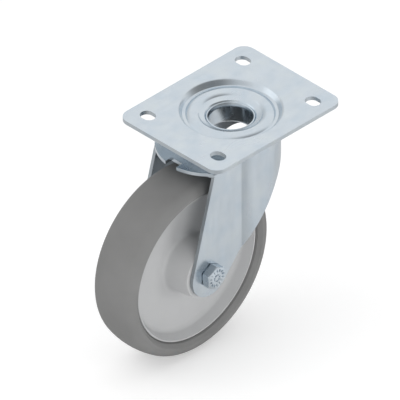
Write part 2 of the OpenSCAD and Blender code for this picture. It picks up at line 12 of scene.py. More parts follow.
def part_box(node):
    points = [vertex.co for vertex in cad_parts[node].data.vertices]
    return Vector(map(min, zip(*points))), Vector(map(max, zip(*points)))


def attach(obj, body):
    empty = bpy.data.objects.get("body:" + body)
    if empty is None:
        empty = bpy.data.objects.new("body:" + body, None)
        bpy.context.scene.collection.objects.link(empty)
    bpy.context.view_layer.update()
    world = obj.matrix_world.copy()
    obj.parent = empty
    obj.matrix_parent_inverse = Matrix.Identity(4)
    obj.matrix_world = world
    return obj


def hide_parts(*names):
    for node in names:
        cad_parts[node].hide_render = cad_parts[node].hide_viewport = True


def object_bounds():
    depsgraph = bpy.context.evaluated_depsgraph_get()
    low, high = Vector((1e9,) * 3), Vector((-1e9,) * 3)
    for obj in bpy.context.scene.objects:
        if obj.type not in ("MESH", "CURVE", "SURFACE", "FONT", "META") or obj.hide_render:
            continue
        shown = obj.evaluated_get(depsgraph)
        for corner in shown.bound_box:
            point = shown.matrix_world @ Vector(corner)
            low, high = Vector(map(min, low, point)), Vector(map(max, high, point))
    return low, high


bl_info = {
    "name": "Swivel castor dressing",
    "version": (1, 0, 0),
    "blender": (4, 5, 0),
    "location": "View3D > Sidebar > Castor",
    "description": "Gives the castor its finishes, its fine pieces and a plain studio",
    "category": "Object",
}

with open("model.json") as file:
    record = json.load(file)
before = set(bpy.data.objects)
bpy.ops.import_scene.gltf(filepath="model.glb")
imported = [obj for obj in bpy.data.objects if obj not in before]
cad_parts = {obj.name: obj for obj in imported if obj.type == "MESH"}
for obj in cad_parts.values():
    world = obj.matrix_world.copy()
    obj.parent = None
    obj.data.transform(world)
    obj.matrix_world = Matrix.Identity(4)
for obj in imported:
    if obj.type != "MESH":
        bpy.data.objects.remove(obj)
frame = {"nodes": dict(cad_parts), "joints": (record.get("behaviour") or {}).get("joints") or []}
NODES = frame["nodes"]
CAD_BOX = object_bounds()
AXLE = Vector(next(j["pos_m"] for j in frame["joints"] if j["name"] == "wheel_spin"))
TYRE_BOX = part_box("tyre")
CENTRE_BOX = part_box("wheel_centre")
BOLT_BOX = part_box("axle_bolt")
SEAL_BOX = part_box("hub_seal_near")

# Lamps: name, place from the castor's middle, and side of the square
LAMPS = (("key_lamp", (-0.6, -0.8, 1.15), 0.7), ("fill_lamp", (0.85, -0.5, 0.04), 0.5),
         ("side_lamp", (0.95, 0.3, 0.3), 0.5))

# The floor's half width, and its distance below the wheel
FLOOR_HALF = 6.0
FLOOR_GAP = 0.0002

# Patches of painted shade that only metal sees in the floor, painted reflections: azimuth, height, inner and
# outer reach in degrees, and share of the floor's tone
FLOOR_PAINTED_REFLECTIONS = ((-40, 0, 15, 45, 0.55), (110, 0, 20, 60, 0.75), (235, 0, 20, 70, 0.75))

# Light from all round, and patches of it: azimuth, height, inner and outer reach in degrees, and tone
SKY_TONE = (0.97, 0.97, 0.97, 1)
SKY_PATCHES = ((300, 8, 8, 45, 0.62), (170, 8, 5, 32, 0.7), (5, 25, 18, 62, 0.27), (217, 15, 8, 27, 1.3))

# The camera looks at a point this far to the right of the plate's centre and above it in the picture
CAMERA_AIM = (-0.02383, -0.07164)
CAMERA_DISTANCE = 1.0
CAMERA_CLIP = 10.0

# Shares of the zinc's colour on other pieces than the plate, and of the cut edge's colour on the fork, which
# darkens the fork's cut edges as painted shade
KINGPIN_SHADE = 0.97
FORK_SHADE = 0.96
FORK_CUT_PAINTED_SHADE = 0.77
BOLT_SHADE = 1.04

# Shares of red, green and blue in the zinc's blue and straw-coloured spots
ZINC_BLUE = (0.93, 0.955, 0.975)
ZINC_STRAW = (1.045, 1.035, 1.01)

# Rings of strokes on the bolt's head: share of their count, share of their radius, and turn of each stroke
MARK_RINGS = ((1.0, 1.0, 0.0), (0.5, 0.42, math.pi / 2))

# Steps round the bolt
BOLT_STEPS = 96


def colour(name, description, default):
    """A colour."""
    return FloatVectorProperty(name=name, description=description, subtype="COLOR", size=3, default=default,
                               min=0, max=1)


def length(name, description, default):
    """A length in metres."""
    return FloatProperty(name=name, description=description, unit="LENGTH", default=default, min=0.00005,
                         max=1, precision=5)


def dullness(name, description, default):
    """The roughness of a finish."""
    return FloatProperty(name=name, description=description, default=default, min=0.05, max=1)


def lamp_power(name, description, default):
    """The power of a lamp."""
    return FloatProperty(name=name, description=description, subtype="POWER", default=default, min=0, max=100)


def portion(name, description, default):
    """A number from none to all."""
    return FloatProperty(name=name, description=description, subtype="FACTOR", default=default, min=0, max=1)


class CastorFinish(PropertyGroup):
    """Colours and roughness of the castor's finishes"""

    zinc: colour("Zinc", "Colour of the zinc plating", (0.617, 0.68, 0.735))
    cut_edge: colour("Cut edge", "Colour of the plated steel where the sheet was cut", (0.565, 0.615, 0.655))
    zinc_roughness: dullness("Zinc roughness", "How dull the zinc plating is", 0.24)
    cut_roughness: dullness("Cut edge roughness", "How dull the steel is where the sheet was cut", 0.39)
    bolt_roughness: dullness("Bolt roughness", "How dull the bolt, its washer and its nut are", 0.26)
    tyre: colour("Tyre", "Colour of the rubber", (0.208, 0.208, 0.206))
    centre: colour("Wheel centre", "Colour of the moulded centre", (0.485, 0.49, 0.495))
    seal: colour("Seals", "Colour of the sealing rubber", (0.02, 0.02, 0.022))
    cage: colour("Ball cages", "Colour of the ball cages", (0.045, 0.047, 0.052))
    nylon: colour("Nylon", "Colour of the roller cage and the locking ring", (0.76, 0.75, 0.70))
    ball: colour("Balls", "Colour of the balls and rollers", (0.68, 0.68, 0.69))
    race: colour("Race", "Colour of the lower race", (0.42, 0.42, 0.43))
    tube: colour("Axle tube", "Colour of the axle tube", (0.50, 0.50, 0.51))


class CastorDetail(PropertyGroup):
    """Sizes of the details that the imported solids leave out"""

    crown_radius: length("Tread crown", "Radius of the tread across the wheel", 0.059)
    shoulder_radius: length("Shoulder", "Radius of the tyre's shoulders", 0.010)
    side_radius: length("Side", "Distance from the axle at which the tyre's sides end", 0.0691)
    side_rise: length("Side rise", "How far the tyre's straight side reaches up to its shoulder", 0.0022)
    bevel_round: length("Bevel round", "Radius between the tyre's side and its bevel", 0.00154)
    lip_round: length("Lip round", "Radius at which the tyre's bevel turns in beside the rim", 0.0004)
    tyre_step: length("Tyre step", "How far the tyre's bevel stands out over the rim's edge", 0.0013)
    groove_width: length("Groove width", "Width of the groove between rim and tyre", 0.0006)
    groove_depth: length("Groove depth", "Depth of the groove below the rim's edge", 0.0012)
    key_width: length("Key width", "Width of the groove in which the tyre keys", 0.014)
    key_depth: length("Key depth", "Depth of the groove in which the tyre keys", 0.003)
    rim_width: length("Rim width", "Half width of the wheel centre's rim", 0.0178)
    rim_radius: length("Rim radius", "Radius of the rim under the tyre", 0.0649)
    rim_edge: length("Rim edge", "Thickness of the rim at its edge", 0.0012)
    rim_round: length("Rim round", "Radius of the rim's edges", 0.0004)
    rim_foot: length("Rim foot", "Radius at which the rim's inner wall meets the web", 0.06)
    rim_fillet: length("Rim fillet", "Radius between the rim's inner wall and the web", 0.005)
    web: length("Web", "Half thickness of the web at the hub", 0.006)
    web_foot: length("Web foot", "Half thickness of the web at the rim", 0.0075)
    hub_root: length("Hub root", "Radius of the hub at the web", 0.0254)
    hub_end: length("Hub end", "Radius of the hub at its ends", 0.0222)
    hub_fillet: length("Hub fillet", "Radius between hub and web", 0.004)
    hub_round: length("Hub round", "Radius of the hub's outer edges", 0.001)
    hub_bore: length("Hub bore", "Radius of the track of the rollers", 0.01408)
    bore_round: length("Bore round", "Radius of the edges inside the hub", 0.0002)
    edge_break: length("Edge break", "Width of the small rounds on sheet edges", 0.00035)
    head_height: length("Head height", "Height of the bolt's head", 0.0075)
    head_flats: length("Head flats", "Size of the bolt's head across its flats", 0.0185)
    head_turn: FloatProperty(
        name="Head turn", description="How far the bolt's head is turned", subtype="ANGLE",
        default=math.radians(32), min=0, max=math.pi)
    face_inset: length("Face inset", "Distance from the head's flats to its round face", 0.0004)
    washer_face: length("Washer face", "Height of the washer face under the bolt's head", 0.0006)
    washer_inset: length("Washer inset", "Distance from the head's flats to its washer face", 0.00055)
    shank_radius: length("Shank radius", "Radius of the bolt's shank", 0.006)
    end_chamfer: length("End chamfer", "Chamfer at the end of the bolt's shank", 0.001)
    thread_pitch: length("Thread pitch", "Pitch of the bolt's thread", 0.00175)
    thread_depth: length("Thread depth", "Depth of the bolt's thread", 0.00085)
    thread_length: length("Thread length", "Length of the bolt's thread", 0.017)
    mark_height: length("Mark height", "Height of the raised strokes on the bolt's head", 0.0005)
    mark_radius: length("Mark radius", "Radius of the outer ring of strokes on the bolt's head", 0.006845)
    head_marks: IntProperty(
        name="Head marks", description="Raised strokes round the bolt's head", default=14, min=3, max=24)


class CastorStudio(PropertyGroup):
    """Camera frame, lamps and floor"""

    frame_width: length("Frame width", "Width that the camera takes in", 0.3125)
    key_power: lamp_power("Key lamp", "Power of the large lamp", 2.0)
    fill_power: lamp_power("Fill lamp", "Power of the low lamp behind the wheel on the bolt's side", 4.4)
    side_power: lamp_power("Side lamp", "Power of the lamp on the bolt's side", 2.0)
    sky: FloatProperty(
        name="Sky", description="Strength of the light from all round", default=1.0, min=0, max=2)
    floor_tone: portion("Floor", "How pale the floor is", 0.78)
    floor_mirrored: portion("Mirrored floor", "How pale the floor is that metal mirrors", 0.55)
    floor_glow: portion("Floor glow", "Light added to the floor where it is seen", 0.34)
    mirror_share: portion("Mirrored share", "Share of the floor's added light that metal mirrors", 0.85)
    glow_share: portion("Glow share", "Share of the floor's added light that lights the castor", 0.12)


def add_node(tree, kind, inputs=None, **settings):
    """Adds a node, with its settings, and sets or links its inputs."""
    made = tree.nodes.new(kind)
    for name, value in settings.items():
        setattr(made, name, value)
    for name, value in (inputs or {}).items():
        if isinstance(value, NodeSocket):
            tree.links.new(value, made.inputs[name])
        else:
            made.inputs[name].default_value = value
    return made


def maths(tree, operation, *values):
    """The result of a Math node on numbers or sockets."""
    return add_node(tree, "ShaderNodeMath", dict(enumerate(values)), operation=operation).outputs[0]


def vectors(tree, operation, *values):
    """The result of a Vector Math node: a number for a dot product or a length, and otherwise a vector."""
    made = add_node(tree, "ShaderNodeVectorMath", dict(enumerate(values)), operation=operation)
    return made.outputs["Value" if operation in ("DOT_PRODUCT", "LENGTH") else "Vector"]


def patch(tree, direction, azimuth, height, inner, outer, low=0.0, high=1.0):
    """A soft round patch of directions: high within its inner reach, and low past its outer reach."""
    azimuth, height, inner, outer = (math.radians(angle) for angle in (azimuth, height, inner, outer))
    middle = (math.cos(azimuth) * math.cos(height), math.sin(azimuth) * math.cos(height), math.sin(height))
    return add_node(tree, "ShaderNodeMapRange", {
        "Value": vectors(tree, "DOT_PRODUCT", direction, middle), "From Min": math.cos(outer),
        "From Max": math.cos(inner), "To Min": low, "To Max": high},
        interpolation_type="SMOOTHSTEP").outputs["Result"]


def new_material(name):
    """An empty shader tree and its output's surface socket."""
    made = bpy.data.materials.new(name)
    made.use_nodes = True
    made.node_tree.nodes.clear()
    output = made.node_tree.nodes.new("ShaderNodeOutputMaterial")
    return made, made.node_tree, output.inputs["Surface"]


def noise(tree, scale, detail, stretch=(1, 1, 1)):
    """A noise pattern on the piece's own coordinates."""
    where = add_node(tree, "ShaderNodeTexCoord").outputs["Object"]
    mapped = add_node(tree, "ShaderNodeMapping", {"Vector": where, "Scale": stretch}).outputs["Vector"]
    return add_node(tree, "ShaderNodeTexNoise", {
        "Vector": mapped, "Scale": scale, "Detail": detail}).outputs["Fac"]


def ramp(tree, factor, stops):
    """A colour ramp of (place, colour) stops."""
    made = add_node(tree, "ShaderNodeValToRGB", {"Fac": factor})
    for i, (at, tone) in enumerate(stops):
        stop = made.color_ramp.elements[i] if i < 2 else made.color_ramp.elements.new(at)
        stop.position = at
        stop.color = (*tone, 1)
    return made.outputs["Color"]


def shade(tone, factor):
    """A colour made lighter or darker."""
    return tuple(min(1.0, c * factor) for c in tone)


def spread(tree, factor, low, high):
    """A noise pattern's middle range spread between two values."""
    return add_node(tree, "ShaderNodeMapRange", {
        "Value": factor, "From Min": 0.3, "From Max": 0.7, "To Min": low, "To Max": high}).outputs["Result"]


def mixed(tree, factor, first, second, blend="MIX"):
    """Two colours mixed by a factor."""
    # A Mix node's sockets share their names, so they are set by number
    return add_node(tree, "ShaderNodeMix", {0: factor, 6: first, 7: second}, data_type="RGBA",
                    blend_type=blend).outputs[2]


def bumped(tree, height, strength, distance):
    """A normal bumped by a pattern."""
    return add_node(tree, "ShaderNodeBump", {
        "Height": height, "Strength": strength, "Distance": distance}).outputs["Normal"]


def zinc_material(name, tone, roughness, stretch=(1, 1, 1), streak=0.05):
    """Zinc plating over rolled steel: blue and straw mottling, rolling streaks and a fine tooth."""
    made, tree, surface = new_material(name)
    blue, straw = (tuple(c * share for c, share in zip(tone, shares)) for shares in (ZINC_BLUE, ZINC_STRAW))
    mottle = ramp(tree, noise(tree, scale=60, detail=2), [(0.3, blue), (0.5, tone), (0.7, straw)])
    grain = noise(tree, scale=140, detail=2, stretch=stretch)
    streaks = ramp(tree, grain, [(0.3, (1 - streak,) * 3), (0.7, (1 + streak,) * 3)])
    base = mixed(tree, 1.0, mottle, streaks, "MULTIPLY")
    dull = spread(tree, noise(tree, scale=75, detail=3, stretch=stretch), roughness - 0.04, roughness + 0.05)
    normal = bumped(tree, noise(tree, scale=600, detail=2), strength=0.03, distance=0.00004)
    shader = add_node(tree, "ShaderNodeBsdfPrincipled", {
        "Base Color": base, "Roughness": dull, "Normal": normal, "Metallic": 1.0})
    tree.links.new(shader.outputs["BSDF"], surface)
    return made


def steel_material(name, tone, roughness):
    """Ground or polished bare steel with faint clouding and a fine tooth."""
    made, tree, surface = new_material(name)
    tint = ramp(tree, noise(tree, scale=60, detail=3), [(0.35, shade(tone, 0.94)), (0.65, shade(tone, 1.04))])
    normal = bumped(tree, noise(tree, scale=2200, detail=2), strength=0.08, distance=0.00003)
    shader = add_node(tree, "ShaderNodeBsdfPrincipled", {
        "Base Color": tint, "Roughness": roughness, "Normal": normal, "Metallic": 1.0})
    tree.links.new(shader.outputs["BSDF"], surface)
    return made


def moulded_material(name, tone, roughness, specular, cloud, tooth):
    """Moulded rubber or plastic with faint clouding and a fine tooth on its skin."""
    made, tree, surface = new_material(name)
    clouding = noise(tree, scale=35, detail=5)
    tint = ramp(tree, clouding, [(0.35, shade(tone, 1 - cloud)), (0.65, shade(tone, 1 + cloud))])
    normal = bumped(tree, noise(tree, scale=1100, detail=4), tooth, distance=0.00008)
    shader = add_node(tree, "ShaderNodeBsdfPrincipled", {
        "Base Color": tint, "Roughness": roughness, "Normal": normal, "Specular IOR Level": specular})
    tree.links.new(shader.outputs["BSDF"], surface)
    return made


def rubber_material(name, tone, roughness):
    """Matt rubber."""
    return moulded_material(name, tone, roughness, specular=0.35, cloud=0.04, tooth=0.25)


def plastic_material(name, tone, roughness):
    """Satin plastic."""
    return moulded_material(name, tone, roughness, specular=0.45, cloud=0.02, tooth=0.1)


def new_tree(name, *inputs):
    """An empty geometry node tree with named (label, kind, value) inputs."""
    tree = bpy.data.node_groups.new(name, "GeometryNodeTree")
    tree.interface.new_socket("Geometry", in_out="INPUT", socket_type="NodeSocketGeometry")
    for label, kind, value in inputs:
        socket = tree.interface.new_socket(label, in_out="INPUT", socket_type="NodeSocket" + kind)
        if value is not None:
            socket.default_value = value
    tree.interface.new_socket("Geometry", in_out="OUTPUT", socket_type="NodeSocketGeometry")
    start = tree.nodes.new("NodeGroupInput")
    end = tree.nodes.new("NodeGroupOutput")
    return tree, start.outputs, end.inputs["Geometry"]


def smoothed(tree, geometry, sharp_angle):
    """Smooth faces, with the edges left sharp that fold by more than an angle."""
    faces = add_node(tree, "GeometryNodeSetShadeSmooth", {"Geometry": geometry}, domain="FACE").outputs[0]
    fold = add_node(tree, "GeometryNodeInputMeshEdgeAngle").outputs["Unsigned Angle"]
    flat = add_node(tree, "FunctionNodeCompare", {"A": fold, "B": sharp_angle},
                    operation="LESS_EQUAL").outputs[0]
    return add_node(tree, "GeometryNodeSetShadeSmooth", {"Geometry": faces, "Shade Smooth": flat},
                    domain="EDGE").outputs[0]


def real_piece(tree, geometry, finish):
    """Real geometry with a finish."""
    real = add_node(tree, "GeometryNodeRealizeInstances", {"Geometry": geometry}).outputs[0]
    return add_node(tree, "GeometryNodeSetMaterial", {"Geometry": real, "Material": finish}).outputs[0]


def smooth_tree(name):
    """Joins a solid's loose triangles and keeps only its true edges sharp."""
    tree, start, end = new_tree(
        name, ("Sharp angle", "Float", math.radians(24)), ("Join distance", "Float", 0.000004))
    whole = add_node(tree, "GeometryNodeMergeByDistance", {
        "Geometry": start["Geometry"], "Distance": start["Join distance"]}).outputs[0]
    tree.links.new(smoothed(tree, whole, start["Sharp angle"]), end)
    return tree


def cut_edge_tree(name):
    """Gives the faces where a sheet was cut a finish of their own."""
    tree, start, end = new_tree(
        name, ("Sheet normal", "Vector", (0, 0, 1)), ("Lean", "Float", 0.3),
        ("Away from axis", "Vector", (1, 1, 0)), ("Distance", "Float", 0.05),
        ("Cut finish", "Material", None))
    normal = add_node(tree, "GeometryNodeInputNormal").outputs[0]
    where = add_node(tree, "GeometryNodeInputPosition").outputs[0]
    facing = maths(tree, "ABSOLUTE", vectors(tree, "DOT_PRODUCT", normal, start["Sheet normal"]))
    reach = vectors(tree, "LENGTH", vectors(tree, "MULTIPLY", where, start["Away from axis"]))
    across = maths(tree, "LESS_THAN", facing, start["Lean"])
    outside = maths(tree, "GREATER_THAN", reach, start["Distance"])
    cut = maths(tree, "MULTIPLY", across, outside)
    done = add_node(tree, "GeometryNodeSetMaterial", {
        "Geometry": start["Geometry"], "Selection": cut, "Material": start["Cut finish"]}).outputs[0]
    tree.links.new(done, end)
    return tree


def turned_tree(name):
    """Revolves the profile of a piece about the axle and gives it its finish."""
    tree, start, end = new_tree(
        name, ("Steps", "Int", 256), ("Ring radius", "Float", 0.05), ("Place", "Vector", (0, 0, 0)),
        ("Sharp angle", "Float", math.radians(30)), ("Finish", "Material", None))
    profile = add_node(tree, "GeometryNodeMeshToCurve", {"Mesh": start["Geometry"]}).outputs[0]
    ring = add_node(tree, "GeometryNodeCurvePrimitiveCircle", {
        "Resolution": start["Steps"], "Radius": start["Ring radius"]}).outputs[0]
    skin = add_node(tree, "GeometryNodeCurveToMesh", {"Curve": ring, "Profile Curve": profile}).outputs[0]
    put = add_node(tree, "GeometryNodeTransform", {
        "Geometry": skin, "Translation": start["Place"], "Rotation": (0, math.pi / 2, 0)}).outputs[0]
    tree.links.new(real_piece(tree, smoothed(tree, put, start["Sharp angle"]), start["Finish"]), end)
    return tree


def head_mark_tree(name):
    """Adds rings of raised strokes to the bolt's head."""
    tree, start, end = new_tree(
        name, ("Count", "Int", 14), ("Ring radius", "Float", 0.0068), ("Stroke length", "Float", 0.0022),
        ("Stroke width", "Float", 0.0008), ("Height", "Float", 0.0005), ("Place", "Vector", (0, 0, 0)),
        ("Finish", "Material", None))
    # A cone with four sides, whose top is a little smaller than its foot, is a stroke with sloping sides
    cone = add_node(tree, "GeometryNodeMeshCone", {
        "Vertices": 4, "Radius Top": 0.6, "Radius Bottom": 0.72, "Depth": 1.0}).outputs["Mesh"]
    stroke = add_node(tree, "GeometryNodeTransform", {
        "Geometry": cone, "Rotation": (0, 0, math.pi / 4)}).outputs[0]
    size = add_node(tree, "ShaderNodeCombineXYZ", {
        "X": start["Stroke length"], "Y": start["Stroke width"], "Z": start["Height"]}).outputs[0]
    index = add_node(tree, "GeometryNodeInputIndex").outputs[0]
    strokes = add_node(tree, "GeometryNodeJoinGeometry")
    for count_share, radius_share, turn in MARK_RINGS:
        count = maths(tree, "ROUND", maths(tree, "MULTIPLY", start["Count"], count_share))
        radius = maths(tree, "MULTIPLY", start["Ring radius"], radius_share)
        points = add_node(tree, "GeometryNodeMeshCircle", {"Vertices": count, "Radius": radius}).outputs[0]
        around = maths(tree, "DIVIDE", maths(tree, "MULTIPLY", index, 2 * math.pi), count)
        rotation = add_node(tree, "ShaderNodeCombineXYZ", {"Z": maths(tree, "ADD", around, turn)}).outputs[0]
        ring = add_node(tree, "GeometryNodeInstanceOnPoints", {
            "Points": points, "Instance": stroke, "Rotation": rotation, "Scale": size}).outputs[0]
        tree.links.new(ring, strokes.inputs[0])
    put = add_node(tree, "GeometryNodeTransform", {
        "Geometry": strokes.outputs[0], "Translation": start["Place"],
        "Rotation": (0, math.pi / 2, 0)}).outputs[0]
    whole = add_node(tree, "GeometryNodeJoinGeometry")
    tree.links.new(put, whole.inputs[0])
    tree.links.new(start["Geometry"], whole.inputs[0])
    tree.links.new(real_piece(tree, whole.outputs[0], start["Finish"]), end)
    return tree


def add_tree(piece, name, build, **values):
    """Adds a geometry node modifier, builds its tree once, and sets its inputs by their identifiers."""
    modifier = piece.modifiers.new(name, "NODES")
    modifier.node_group = bpy.data.node_groups.get(name) or build(name)
    sockets = {s.name.lower().replace(" ", "_"): s.identifier
               for s in modifier.node_group.interface.items_tree if s.in_out == "INPUT"}
    for label, value in values.items():
        modifier[sockets[label]] = value


def make_plain(piece):
    """Turns what a piece's modifiers make into its own mesh."""
    bpy.context.view_layer.update()
    evaluated = piece.evaluated_get(bpy.context.evaluated_depsgraph_get())
    mesh = bpy.data.meshes.new_from_object(evaluated)
    piece.modifiers.clear()
    old = piece.data
    piece.data = mesh
    bpy.data.meshes.remove(old)
    mesh.name = piece.name


def break_edges(piece, width, angle, segments):
    """Rounds the edges of a piece that fold by more than an angle in degrees."""
    bevel = piece.modifiers.new("Broken edges", "BEVEL")
    bevel.width = width
    bevel.segments = segments
    bevel.limit_method = "ANGLE"
    bevel.angle_limit = math.radians(angle)
    return bevel


def dress(node, material, edge_break=0.0):
    """Gives a CAD node a finish and smooth curved faces, and breaks its edges where a width is given."""
    piece = NODES[node]
    piece.data.materials.clear()
    piece.data.materials.append(material)
    add_tree(piece, "Smoothed solid", smooth_tree)
    if edge_break:
        break_edges(piece, edge_break, angle=40, segments=2).harden_normals = True
    return piece


def dress_sheet(node, material, edge_break, cut_finish, sheet_normal, away_from_axis, distance):
    """Dresses a pressed sheet, with a finish of its own on the faces where it was cut."""
    sheet = dress(node, material, edge_break)
    add_tree(sheet, "Cut edges", cut_edge_tree, sheet_normal=sheet_normal, away_from_axis=away_from_axis,
             distance=distance, cut_finish=cut_finish)
    # The cut faces are found after the smoothing and before the edges are broken
    sheet.modifiers.move(len(sheet.modifiers) - 1, 1)


def new_piece(name, vertices, edges=(), faces=()):
    """A mesh piece in the scene."""
    mesh = bpy.data.meshes.new(name)
    mesh.from_pydata(vertices, edges, faces)
    piece = bpy.data.objects.new(name, mesh)
    bpy.context.scene.collection.objects.link(piece)
    return piece


def seat(piece, body, slot, *nodes):
    """Lets a piece ride on a body in place of CAD nodes."""
    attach(piece, body)
    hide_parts(*nodes)


def arc(centre, radius, start, end, steps):
    """Points on an arc in the (along the axle, radius) plane."""
    return [(centre[0] + radius * math.cos(start + (end - start) * i / steps),
             centre[1] + radius * math.sin(start + (end - start) * i / steps)) for i in range(steps + 1)]


def rounded(path, steps=8):
    """A closed outline of (x, radius, corner radius) points with each corner rounded."""
    points = []
    for i, (x, y, r) in enumerate(path):
        if r == 0:
            points.append((x, y))
            continue
        corner = Vector((x, y))
        before = (Vector(path[i - 1][:2]) - corner).normalized()
        after = (Vector(path[(i + 1) % len(path)][:2]) - corner).normalized()
        half = before.angle(after) / 2
        middle = corner + (before + after).normalized() * (r / math.sin(half))
        first = corner + before * (r / math.tan(half)) - middle
        last = corner + after * (r / math.tan(half)) - middle
        start = math.atan2(first.y, first.x)
        turn = math.atan2(first.x * last.y - first.y * last.x, first.dot(last))
        points += arc(middle, r, start, start + turn, steps)
    return points


def mirrored(path):
    """A path on the other side of the wheel, in the opposite order."""
    return [(-p[0], *p[1:]) for p in reversed(path)]


def turned(name, outline, material, ring_radius=0.05):
    """Revolves a closed (along the axle, radius) outline about the wheel's axle."""
    profile = [(r - ring_radius, -x, 0) for x, r in outline]
    n = len(profile)
    piece = new_piece(name, profile, [(i, (i + 1) % n) for i in range(n)])
    add_tree(piece, "Turned piece", turned_tree, ring_radius=ring_radius, place=AXLE, finish=material)
    make_plain(piece)
    return piece


def key_outline(detail):
    """The rim's groove in which the tyre keys, from the far side to the near one."""
    edge_x = detail.key_width / 2
    foot_x = edge_x - detail.key_depth / 2
    foot_r = detail.rim_radius - detail.key_depth
    return [(-edge_x, detail.rim_radius), (-foot_x, foot_r), (foot_x, foot_r), (edge_x, detail.rim_radius)]


def centre_outline(detail):
    """Outline of the wheel centre: rim, dished web, tapered hub and the rollers' track."""
    rim_x = detail.rim_width
    rim_r = detail.rim_radius
    hub_x = CENTRE_BOX[1].x
    seat_x = SEAL_BOX[0].x
    seat_r = SEAL_BOX[1].z - AXLE.z
    key = [(x, r, 0) for x, r in key_outline(detail)]
    rim = [(-rim_x, rim_r, detail.rim_round)] + key + [(rim_x, rim_r, detail.rim_round)]
    side = [(rim_x, rim_r - detail.rim_edge, detail.rim_round),
            (detail.web_foot, detail.rim_foot, detail.rim_fillet),
            (detail.web, detail.hub_root, detail.hub_fillet), (hub_x, detail.hub_end, detail.hub_round),
            (hub_x, seat_r, detail.bore_round), (seat_x, seat_r, 0),
            (seat_x, detail.hub_bore, detail.bore_round)]
    return rounded(rim + side + mirrored(side))


def tyre_outline(detail):
    """Outline of the tyre: crowned tread, round shoulders, bevelled sides and the rim's key."""
    tread_r = TYRE_BOX[1].z - AXLE.z
    crown = detail.crown_radius
    shoulder = detail.shoulder_radius
    shoulder_x = TYRE_BOX[1].x - shoulder
    join = math.acos(shoulder_x / (crown - shoulder))
    shoulder_r = tread_r - crown + (crown - shoulder) * math.sin(join)
    low = math.asin((detail.side_radius + detail.side_rise - shoulder_r) / shoulder)
    half = arc((shoulder_x, shoulder_r), shoulder, low, join, steps=14)
    tread = arc((0, tread_r - crown), crown, join, math.pi - join, steps=24)[1:-1]
    side_x = half[0][0]
    lip_x = detail.rim_width + detail.tyre_step
    groove_x = detail.rim_width - detail.groove_depth
    groove_r = detail.rim_radius + detail.groove_width
    soft = rounded([(*half[0], 0), (side_x, detail.side_radius, detail.bevel_round),
                    (lip_x, groove_r + detail.tyre_step / 2, detail.lip_round), (groove_x, groove_r, 0)])[1:]
    side = [(groove_x, detail.rim_radius)] + soft[::-1] + half
    return side + tread + mirrored(side) + key_outline(detail)


